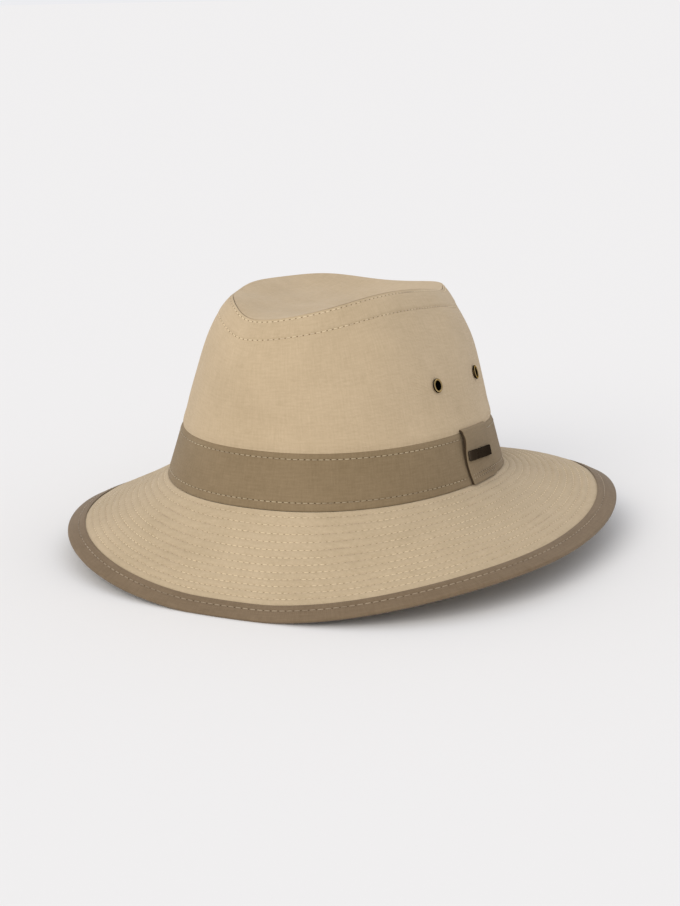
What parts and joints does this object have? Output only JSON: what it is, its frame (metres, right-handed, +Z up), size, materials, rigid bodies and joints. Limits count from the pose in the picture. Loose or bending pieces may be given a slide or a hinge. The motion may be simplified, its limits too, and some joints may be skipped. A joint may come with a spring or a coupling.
{
  "type": "cotton traveller hat",
  "caption": "Soft cotton traveller hat: tall crown with a dented oval tip, stitched drooping brim with a bound edge, cloth band with a tab and plate, vent eyelets.",
  "frame": {"origin": "bottom centre of the hat's box, on the surface that the brim rests on", "axes": "+Z up, the front of the hat points to -Y and the wearer's left side to +X"},
  "size_m": [0.294, 0.3024, 0.146],
  "materials": {
    "khaki_cotton": "matt woven cotton with a fine slub",
    "taupe_cotton": "matt woven cotton",
    "taupe_tape": "matt woven cotton tape",
    "dark_bronze": "dark oxidised, satin",
    "antique_brass": "aged, darkened in the hollows"
  },
  "bodies": {
    "root": {"crown_side": "khaki_cotton", "crown_tip": "khaki_cotton", "brim": "khaki_cotton", "brim_binding": "taupe_tape", "hat_band": "taupe_cotton", "band_tab": "taupe_cotton", "tab_plate": "dark_bronze", "eyelet_left_front": "antique_brass", "eyelet_left_rear": "antique_brass", "eyelet_right_front": "antique_brass", "eyelet_right_rear": "antique_brass"}
  },
  "joints": []
}
